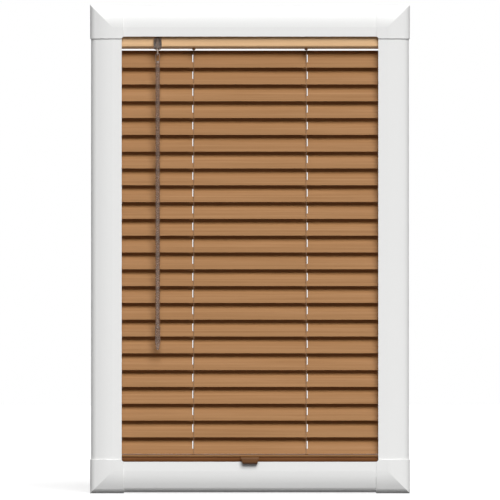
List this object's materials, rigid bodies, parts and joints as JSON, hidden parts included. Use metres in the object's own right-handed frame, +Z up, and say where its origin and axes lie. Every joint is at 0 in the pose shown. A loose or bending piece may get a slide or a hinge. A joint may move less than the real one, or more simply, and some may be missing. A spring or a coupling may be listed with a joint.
{
  "type": "venetian blind",
  "caption": "Venetian blind in a white clip-in window frame, with wood-effect slats, a headrail, a bottom rail with a pull tab and a tilt wand.",
  "frame": {"origin": "centre of the bottom profile's flat back strip, on the plane that meets the window sash", "axes": "+Z up, +Y towards the glass, +X along the slats to the right as seen from the room"},
  "size_m": [0.409, 0.0369, 0.6245],
  "materials": {
    "frame_white": "white satin coating",
    "corner_white": "white moulded plastic",
    "wood_slat": "printed wood effect, satin",
    "wood_headrail": "printed wood effect, satin",
    "wood_rail": "printed wood effect, satin",
    "smoky_plastic": "smoky clear plastic",
    "smoky_shaft": "smoky clear plastic",
    "rod_steel": "zinc plated",
    "drum_plastic": "natural moulded plastic",
    "hook_wire": "bright wire",
    "clear_wand": "clear acrylic rod",
    "brown_cord": "braided cord",
    "brown_ladder": "braided ladder string",
    "brown_handle": "brown moulded plastic"
  },
  "bodies": {
    "frame": {"frame_profiles": "frame_white", "corner_pieces": "corner_white", "headrail": "wood_headrail", "tilter_housing": "smoky_plastic", "lift_cords": "brown_cord"},
    "slat_01": {"slat_01": "wood_slat"},
    "ladder_front_01": {"ladder_front_01": "brown_ladder"},
    "ladder_back": {"ladder_back": "brown_ladder"},
    "bottom_rail": {"bottom_rail": "wood_rail", "pull_handle": "brown_handle"},
    "ladder_front_02": {"ladder_front_02": "brown_ladder"},
    "slat_02": {"slat_02": "wood_slat"},
    "ladder_front_03": {"ladder_front_03": "brown_ladder"},
    "slat_03": {"slat_03": "wood_slat"},
    "ladder_front_04": {"ladder_front_04": "brown_ladder"},
    "slat_04": {"slat_04": "wood_slat"},
    "ladder_front_05": {"ladder_front_05": "brown_ladder"},
    "slat_05": {"slat_05": "wood_slat"},
    "ladder_front_06": {"ladder_front_06": "brown_ladder"},
    "slat_06": {"slat_06": "wood_slat"},
    "ladder_front_07": {"ladder_front_07": "brown_ladder"},
    "slat_07": {"slat_07": "wood_slat"},
    "ladder_front_08": {"ladder_front_08": "brown_ladder"},
    "slat_08": {"slat_08": "wood_slat"},
    "ladder_front_09": {"ladder_front_09": "brown_ladder"},
    "slat_09": {"slat_09": "wood_slat"},
    "ladder_front_10": {"ladder_front_10": "brown_ladder"},
    "slat_10": {"slat_10": "wood_slat"},
    "ladder_front_11": {"ladder_front_11": "brown_ladder"},
    "slat_11": {"slat_11": "wood_slat"},
    "ladder_front_12": {"ladder_front_12": "brown_ladder"},
    "slat_12": {"slat_12": "wood_slat"},
    "ladder_front_13": {"ladder_front_13": "brown_ladder"},
    "slat_13": {"slat_13": "wood_slat"},
    "ladder_front_14": {"ladder_front_14": "brown_ladder"},
    "slat_14": {"slat_14": "wood_slat"},
    "ladder_front_15": {"ladder_front_15": "brown_ladder"},
    "slat_15": {"slat_15": "wood_slat"},
    "ladder_front_16": {"ladder_front_16": "brown_ladder"},
    "slat_16": {"slat_16": "wood_slat"},
    "ladder_front_17": {"ladder_front_17": "brown_ladder"},
    "slat_17": {"slat_17": "wood_slat"},
    "ladder_front_18": {"ladder_front_18": "brown_ladder"},
    "slat_18": {"slat_18": "wood_slat"},
    "ladder_front_19": {"ladder_front_19": "brown_ladder"},
    "slat_19": {"slat_19": "wood_slat"},
    "ladder_front_20": {"ladder_front_20": "brown_ladder"},
    "slat_20": {"slat_20": "wood_slat"},
    "ladder_front_21": {"ladder_front_21": "brown_ladder"},
    "slat_21": {"slat_21": "wood_slat"},
    "ladder_front_22": {"ladder_front_22": "brown_ladder"},
    "slat_22": {"slat_22": "wood_slat"},
    "ladder_front_23": {"ladder_front_23": "brown_ladder"},
    "slat_23": {"slat_23": "wood_slat"},
    "slat_24": {"slat_24": "wood_slat"},
    "tilt_rod": {"tilt_rod": "rod_steel", "tilt_drums": "drum_plastic"},
    "worm_shaft": {"worm_shaft": "smoky_shaft"},
    "wand_hook": {"wand_hook": "hook_wire"},
    "wand": {"wand": "clear_wand"}
  },
  "joints": [
    {"name": "tilt", "type": "hinge", "parent": "frame", "child": "slat_01", "pos_m": [0, -0.013, 0.5424], "axis": [1, 0, 0], "range_deg": [-120, 0]},
    {"name": "front_strings", "type": "hinge", "parent": "slat_01", "child": "ladder_front_01", "pos_m": [0, -0.01938, 0.53039], "axis": [1, 0, 0], "range_deg": [0, 120], "deforming": ["ladder_front_01"]},
    {"name": "back_strings", "type": "hinge", "parent": "slat_01", "child": "ladder_back", "pos_m": [0, -0.00662, 0.55441], "axis": [1, 0, 0], "range_deg": [0, 120], "deforming": ["ladder_back"]},
    {"name": "lift", "type": "slide", "parent": "frame", "child": "bottom_rail", "axis": [0, 0, 1], "range_m": [0, 0.4255]},
    {"name": "gather_02", "type": "slide", "parent": "ladder_front_01", "child": "ladder_front_02", "axis": [0, 0, 1], "range_m": [0, 0.0185], "deforming": ["ladder_front_02"]},
    {"name": "tilt_02", "type": "hinge", "parent": "ladder_front_02", "child": "slat_02", "pos_m": [0, -0.01938, 0.50889], "axis": [1, 0, 0], "range_deg": [-120, 0]},
    {"name": "gather_03", "type": "slide", "parent": "ladder_front_01", "child": "ladder_front_03", "axis": [0, 0, 1], "range_m": [0, 0.037], "deforming": ["ladder_front_03"]},
    {"name": "tilt_03", "type": "hinge", "parent": "ladder_front_03", "child": "slat_03", "pos_m": [0, -0.01938, 0.48739], "axis": [1, 0, 0], "range_deg": [-120, 0]},
    {"name": "gather_04", "type": "slide", "parent": "ladder_front_01", "child": "ladder_front_04", "axis": [0, 0, 1], "range_m": [0, 0.0555], "deforming": ["ladder_front_04"]},
    {"name": "tilt_04", "type": "hinge", "parent": "ladder_front_04", "child": "slat_04", "pos_m": [0, -0.01938, 0.46589], "axis": [1, 0, 0], "range_deg": [-120, 0]},
    {"name": "gather_05", "type": "slide", "parent": "ladder_front_01", "child": "ladder_front_05", "axis": [0, 0, 1], "range_m": [0, 0.074], "deforming": ["ladder_front_05"]},
    {"name": "tilt_05", "type": "hinge", "parent": "ladder_front_05", "child": "slat_05", "pos_m": [0, -0.01938, 0.44439], "axis": [1, 0, 0], "range_deg": [-120, 0]},
    {"name": "gather_06", "type": "slide", "parent": "ladder_front_01", "child": "ladder_front_06", "axis": [0, 0, 1], "range_m": [0, 0.0925], "deforming": ["ladder_front_06"]},
    {"name": "tilt_06", "type": "hinge", "parent": "ladder_front_06", "child": "slat_06", "pos_m": [0, -0.01938, 0.42289], "axis": [1, 0, 0], "range_deg": [-120, 0]},
    {"name": "gather_07", "type": "slide", "parent": "ladder_front_01", "child": "ladder_front_07", "axis": [0, 0, 1], "range_m": [0, 0.111], "deforming": ["ladder_front_07"]},
    {"name": "tilt_07", "type": "hinge", "parent": "ladder_front_07", "child": "slat_07", "pos_m": [0, -0.01938, 0.40139], "axis": [1, 0, 0], "range_deg": [-120, 0]},
    {"name": "gather_08", "type": "slide", "parent": "ladder_front_01", "child": "ladder_front_08", "axis": [0, 0, 1], "range_m": [0, 0.1295], "deforming": ["ladder_front_08"]},
    {"name": "tilt_08", "type": "hinge", "parent": "ladder_front_08", "child": "slat_08", "pos_m": [0, -0.01938, 0.37989], "axis": [1, 0, 0], "range_deg": [-120, 0]},
    {"name": "gather_09", "type": "slide", "parent": "ladder_front_01", "child": "ladder_front_09", "axis": [0, 0, 1], "range_m": [0, 0.148], "deforming": ["ladder_front_09"]},
    {"name": "tilt_09", "type": "hinge", "parent": "ladder_front_09", "child": "slat_09", "pos_m": [0, -0.01938, 0.35839], "axis": [1, 0, 0], "range_deg": [-120, 0]},
    {"name": "gather_10", "type": "slide", "parent": "ladder_front_01", "child": "ladder_front_10", "axis": [0, 0, 1], "range_m": [0, 0.1665], "deforming": ["ladder_front_10"]},
    {"name": "tilt_10", "type": "hinge", "parent": "ladder_front_10", "child": "slat_10", "pos_m": [0, -0.01938, 0.33689], "axis": [1, 0, 0], "range_deg": [-120, 0]},
    {"name": "gather_11", "type": "slide", "parent": "ladder_front_01", "child": "ladder_front_11", "axis": [0, 0, 1], "range_m": [0, 0.185], "deforming": ["ladder_front_11"]},
    {"name": "tilt_11", "type": "hinge", "parent": "ladder_front_11", "child": "slat_11", "pos_m": [0, -0.01938, 0.31539], "axis": [1, 0, 0], "range_deg": [-120, 0]},
    {"name": "gather_12", "type": "slide", "parent": "ladder_front_01", "child": "ladder_front_12", "axis": [0, 0, 1], "range_m": [0, 0.2035], "deforming": ["ladder_front_12"]},
    {"name": "tilt_12", "type": "hinge", "parent": "ladder_front_12", "child": "slat_12", "pos_m": [0, -0.01938, 0.29389], "axis": [1, 0, 0], "range_deg": [-120, 0]},
    {"name": "gather_13", "type": "slide", "parent": "ladder_front_01", "child": "ladder_front_13", "axis": [0, 0, 1], "range_m": [0, 0.222], "deforming": ["ladder_front_13"]},
    {"name": "tilt_13", "type": "hinge", "parent": "ladder_front_13", "child": "slat_13", "pos_m": [0, -0.01938, 0.27239], "axis": [1, 0, 0], "range_deg": [-120, 0]},
    {"name": "gather_14", "type": "slide", "parent": "ladder_front_01", "child": "ladder_front_14", "axis": [0, 0, 1], "range_m": [0, 0.2405], "deforming": ["ladder_front_14"]},
    {"name": "tilt_14", "type": "hinge", "parent": "ladder_front_14", "child": "slat_14", "pos_m": [0, -0.01938, 0.25089], "axis": [1, 0, 0], "range_deg": [-120, 0]},
    {"name": "gather_15", "type": "slide", "parent": "ladder_front_01", "child": "ladder_front_15", "axis": [0, 0, 1], "range_m": [0, 0.259], "deforming": ["ladder_front_15"]},
    {"name": "tilt_15", "type": "hinge", "parent": "ladder_front_15", "child": "slat_15", "pos_m": [0, -0.01938, 0.22939], "axis": [1, 0, 0], "range_deg": [-120, 0]},
    {"name": "gather_16", "type": "slide", "parent": "ladder_front_01", "child": "ladder_front_16", "axis": [0, 0, 1], "range_m": [0, 0.2775], "deforming": ["ladder_front_16"]},
    {"name": "tilt_16", "type": "hinge", "parent": "ladder_front_16", "child": "slat_16", "pos_m": [0, -0.01938, 0.20789], "axis": [1, 0, 0], "range_deg": [-120, 0]},
    {"name": "gather_17", "type": "slide", "parent": "ladder_front_01", "child": "ladder_front_17", "axis": [0, 0, 1], "range_m": [0, 0.296], "deforming": ["ladder_front_17"]},
    {"name": "tilt_17", "type": "hinge", "parent": "ladder_front_17", "child": "slat_17", "pos_m": [0, -0.01938, 0.18639], "axis": [1, 0, 0], "range_deg": [-120, 0]},
    {"name": "gather_18", "type": "slide", "parent": "ladder_front_01", "child": "ladder_front_18", "axis": [0, 0, 1], "range_m": [0, 0.3145], "deforming": ["ladder_front_18"]},
    {"name": "tilt_18", "type": "hinge", "parent": "ladder_front_18", "child": "slat_18", "pos_m": [0, -0.01938, 0.16489], "axis": [1, 0, 0], "range_deg": [-120, 0]},
    {"name": "gather_19", "type": "slide", "parent": "ladder_front_01", "child": "ladder_front_19", "axis": [0, 0, 1], "range_m": [0, 0.333], "deforming": ["ladder_front_19"]},
    {"name": "tilt_19", "type": "hinge", "parent": "ladder_front_19", "child": "slat_19", "pos_m": [0, -0.01938, 0.14339], "axis": [1, 0, 0], "range_deg": [-120, 0]},
    {"name": "gather_20", "type": "slide", "parent": "ladder_front_01", "child": "ladder_front_20", "axis": [0, 0, 1], "range_m": [0, 0.3515], "deforming": ["ladder_front_20"]},
    {"name": "tilt_20", "type": "hinge", "parent": "ladder_front_20", "child": "slat_20", "pos_m": [0, -0.01938, 0.12189], "axis": [1, 0, 0], "range_deg": [-120, 0]},
    {"name": "gather_21", "type": "slide", "parent": "ladder_front_01", "child": "ladder_front_21", "axis": [0, 0, 1], "range_m": [0, 0.37], "deforming": ["ladder_front_21"]},
    {"name": "tilt_21", "type": "hinge", "parent": "ladder_front_21", "child": "slat_21", "pos_m": [0, -0.01938, 0.10039], "axis": [1, 0, 0], "range_deg": [-120, 0]},
    {"name": "gather_22", "type": "slide", "parent": "ladder_front_01", "child": "ladder_front_22", "axis": [0, 0, 1], "range_m": [0, 0.3885], "deforming": ["ladder_front_22"]},
    {"name": "tilt_22", "type": "hinge", "parent": "ladder_front_22", "child": "slat_22", "pos_m": [0, -0.01938, 0.07889], "axis": [1, 0, 0], "range_deg": [-120, 0]},
    {"name": "gather_23", "type": "slide", "parent": "ladder_front_01", "child": "ladder_front_23", "axis": [0, 0, 1], "range_m": [0, 0.407], "deforming": ["ladder_front_23"]},
    {"name": "tilt_23", "type": "hinge", "parent": "ladder_front_23", "child": "slat_23", "pos_m": [0, -0.01938, 0.05739], "axis": [1, 0, 0], "range_deg": [-120, 0]},
    {"name": "tilt_24", "type": "hinge", "parent": "bottom_rail", "child": "slat_24", "pos_m": [0, -0.013, 0.0479], "axis": [1, 0, 0], "range_deg": [-120, 0]},
    {"name": "rod_turn", "type": "hinge", "parent": "frame", "child": "tilt_rod", "pos_m": [0, -0.013, 0.5666], "axis": [1, 0, 0], "range_deg": [-120, 0]},
    {"name": "worm_turn", "type": "hinge", "parent": "frame", "child": "worm_shaft", "pos_m": [-0.118, -0.0201, 0.5707], "axis": [0, -0.5, -0.866], "range_deg": [0, 1440]},
    {"name": "wand_twist", "type": "hinge", "parent": "frame", "child": "wand_hook", "pos_m": [-0.118, -0.0325, 0.54922], "axis": [0, 0, -1], "range_deg": [0, 1440]},
    {"name": "wand_swing", "type": "hinge", "parent": "wand_hook", "child": "wand", "pos_m": [-0.118, -0.0325, 0.53822], "axis": [-1, 0, 0], "range_deg": [0, 70]}
  ],
  "couplings": [
    {"joint": "front_strings", "follows": "tilt", "ratio": -1},
    {"joint": "back_strings", "follows": "tilt", "ratio": -1},
    {"joint": "gather_02", "follows": "lift", "ratio": 0.043478},
    {"joint": "tilt_02", "follows": "tilt", "ratio": 1},
    {"joint": "gather_03", "follows": "lift", "ratio": 0.086957},
    {"joint": "tilt_03", "follows": "tilt", "ratio": 1},
    {"joint": "gather_04", "follows": "lift", "ratio": 0.13043},
    {"joint": "tilt_04", "follows": "tilt", "ratio": 1},
    {"joint": "gather_05", "follows": "lift", "ratio": 0.17391},
    {"joint": "tilt_05", "follows": "tilt", "ratio": 1},
    {"joint": "gather_06", "follows": "lift", "ratio": 0.21739},
    {"joint": "tilt_06", "follows": "tilt", "ratio": 1},
    {"joint": "gather_07", "follows": "lift", "ratio": 0.26087},
    {"joint": "tilt_07", "follows": "tilt", "ratio": 1},
    {"joint": "gather_08", "follows": "lift", "ratio": 0.30435},
    {"joint": "tilt_08", "follows": "tilt", "ratio": 1},
    {"joint": "gather_09", "follows": "lift", "ratio": 0.34783},
    {"joint": "tilt_09", "follows": "tilt", "ratio": 1},
    {"joint": "gather_10", "follows": "lift", "ratio": 0.3913},
    {"joint": "tilt_10", "follows": "tilt", "ratio": 1},
    {"joint": "gather_11", "follows": "lift", "ratio": 0.43478},
    {"joint": "tilt_11", "follows": "tilt", "ratio": 1},
    {"joint": "gather_12", "follows": "lift", "ratio": 0.47826},
    {"joint": "tilt_12", "follows": "tilt", "ratio": 1},
    {"joint": "gather_13", "follows": "lift", "ratio": 0.52174},
    {"joint": "tilt_13", "follows": "tilt", "ratio": 1},
    {"joint": "gather_14", "follows": "lift", "ratio": 0.56522},
    {"joint": "tilt_14", "follows": "tilt", "ratio": 1},
    {"joint": "gather_15", "follows": "lift", "ratio": 0.6087},
    {"joint": "tilt_15", "follows": "tilt", "ratio": 1},
    {"joint": "gather_16", "follows": "lift", "ratio": 0.65217},
    {"joint": "tilt_16", "follows": "tilt", "ratio": 1},
    {"joint": "gather_17", "follows": "lift", "ratio": 0.69565},
    {"joint": "tilt_17", "follows": "tilt", "ratio": 1},
    {"joint": "gather_18", "follows": "lift", "ratio": 0.73913},
    {"joint": "tilt_18", "follows": "tilt", "ratio": 1},
    {"joint": "gather_19", "follows": "lift", "ratio": 0.78261},
    {"joint": "tilt_19", "follows": "tilt", "ratio": 1},
    {"joint": "gather_20", "follows": "lift", "ratio": 0.82609},
    {"joint": "tilt_20", "follows": "tilt", "ratio": 1},
    {"joint": "gather_21", "follows": "lift", "ratio": 0.86957},
    {"joint": "tilt_21", "follows": "tilt", "ratio": 1},
    {"joint": "gather_22", "follows": "lift", "ratio": 0.91304},
    {"joint": "tilt_22", "follows": "tilt", "ratio": 1},
    {"joint": "gather_23", "follows": "lift", "ratio": 0.95652},
    {"joint": "tilt_23", "follows": "tilt", "ratio": 1},
    {"joint": "tilt_24", "follows": "tilt", "ratio": 1},
    {"joint": "rod_turn", "follows": "tilt", "ratio": 1},
    {"joint": "worm_turn", "follows": "tilt", "ratio": -12},
    {"joint": "wand_twist", "follows": "tilt", "ratio": -12}
  ]
}
